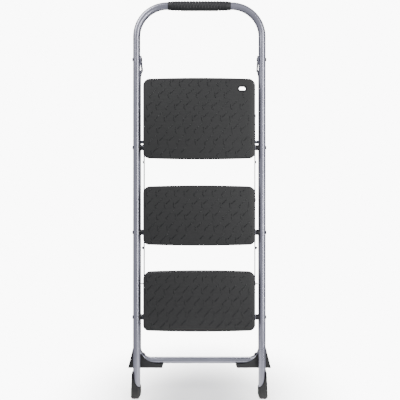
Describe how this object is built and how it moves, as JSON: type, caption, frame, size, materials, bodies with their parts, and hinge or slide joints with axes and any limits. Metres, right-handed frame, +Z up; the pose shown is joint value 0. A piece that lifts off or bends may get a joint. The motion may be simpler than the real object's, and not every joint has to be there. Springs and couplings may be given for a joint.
{
  "type": "step ladder",
  "caption": "Folding steel step ladder, folded flat, with bent round-tube frames, a ribbed hand loop, and flip-up treads joined by link bars.",
  "frame": {"origin": "on the floor under the middle of the folded ladder's width and depth", "axes": "+Z up the ladder, +X across it, +Y from the treads towards the rear frame"},
  "size_m": [0.505, 0.0702, 1.388],
  "materials": {
    "frame_enamel": "glossy silver enamel",
    "zinc_steel": "bright zinc plating",
    "black_rivet": "black oxide",
    "tread_plastic": "moulded, fine texture",
    "bush_plastic": "moulded, smooth",
    "foot_plastic": "moulded, satin",
    "grip_rubber": "soft ribbed"
  },
  "bodies": {
    "front_frame": {"front_frame_tube": "frame_enamel", "hand_grip": "grip_rubber", "front_foot_left": "foot_plastic", "front_foot_right": "foot_plastic", "frame_pivot_rivets": "black_rivet", "step_pivot_rivets": "black_rivet", "step_spacers": "bush_plastic"},
    "rear_frame": {"rear_frame_tube": "frame_enamel", "rear_foot_left": "foot_plastic", "rear_foot_right": "foot_plastic", "rear_foot_rivets": "black_rivet", "drag_link_studs": "zinc_steel"},
    "top_step": {"top_tread": "tread_plastic", "top_step_frame": "frame_enamel", "top_tread_screws": "zinc_steel", "top_link_rivets": "zinc_steel"},
    "middle_step": {"middle_tread": "tread_plastic", "middle_step_frame": "frame_enamel", "middle_tread_screws": "zinc_steel", "middle_link_rivets": "zinc_steel", "middle_link_washers": "zinc_steel"},
    "bottom_step": {"bottom_tread": "tread_plastic", "bottom_step_frame": "frame_enamel", "bottom_tread_screws": "zinc_steel", "bottom_link_rivets": "zinc_steel", "bottom_link_washers": "zinc_steel"},
    "link_bar_left": {"link_bar_left": "zinc_steel", "bar_bumpers_left": "bush_plastic"},
    "link_bar_right": {"link_bar_right": "zinc_steel", "bar_bumpers_right": "bush_plastic"},
    "drag_link_left": {"drag_link_left": "zinc_steel"},
    "drag_link_right": {"drag_link_right": "zinc_steel"}
  },
  "joints": [
    {"name": "top_step_fold", "type": "hinge", "parent": "front_frame", "child": "top_step", "pos_m": [0, -0.00705, 0.874], "axis": [-1, 0, 0], "range_deg": [0, 65.5]},
    {"name": "middle_step_fold", "type": "hinge", "parent": "front_frame", "child": "middle_step", "pos_m": [0, -0.00705, 0.577], "axis": [-1, 0, 0], "range_deg": [0, 65.5]},
    {"name": "bottom_step_fold", "type": "hinge", "parent": "front_frame", "child": "bottom_step", "pos_m": [0, -0.00705, 0.28], "axis": [-1, 0, 0], "range_deg": [0, 65.5]},
    {"name": "rear_frame_swing", "type": "hinge", "parent": "front_frame", "child": "rear_frame", "pos_m": [0, -0.00705, 1.183], "axis": [1, 0, 0], "range_deg": [0, 34.27]},
    {"name": "link_bar_left_turn", "type": "hinge", "parent": "top_step", "child": "link_bar_left", "pos_m": [-0.1961, 0.00895, 0.9873], "axis": [1, 0, 0], "range_deg": [0, 65.5]},
    {"name": "link_bar_right_turn", "type": "hinge", "parent": "top_step", "child": "link_bar_right", "pos_m": [0.1961, 0.00895, 0.9873], "axis": [1, 0, 0], "range_deg": [0, 65.5]},
    {"name": "drag_link_left_turn", "type": "hinge", "parent": "top_step", "child": "drag_link_left", "pos_m": [-0.1925, 0.00895, 0.9873], "axis": [1, 0, 0], "range_deg": [0, 184.93]},
    {"name": "drag_link_right_turn", "type": "hinge", "parent": "top_step", "child": "drag_link_right", "pos_m": [0.1925, 0.00895, 0.9873], "axis": [1, 0, 0], "range_deg": [0, 184.93]}
  ],
  "couplings": [
    {"joint": "middle_step_fold", "follows": "top_step_fold", "ratio": 1},
    {"joint": "bottom_step_fold", "follows": "top_step_fold", "ratio": 1},
    {"joint": "rear_frame_swing", "follows": "top_step_fold", "ratio": 0.52307},
    {"joint": "link_bar_left_turn", "follows": "top_step_fold", "ratio": 1},
    {"joint": "link_bar_right_turn", "follows": "top_step_fold", "ratio": 1},
    {"joint": "drag_link_left_turn", "follows": "top_step_fold", "ratio": 2.8233},
    {"joint": "drag_link_right_turn", "follows": "top_step_fold", "ratio": 2.8233}
  ]
}
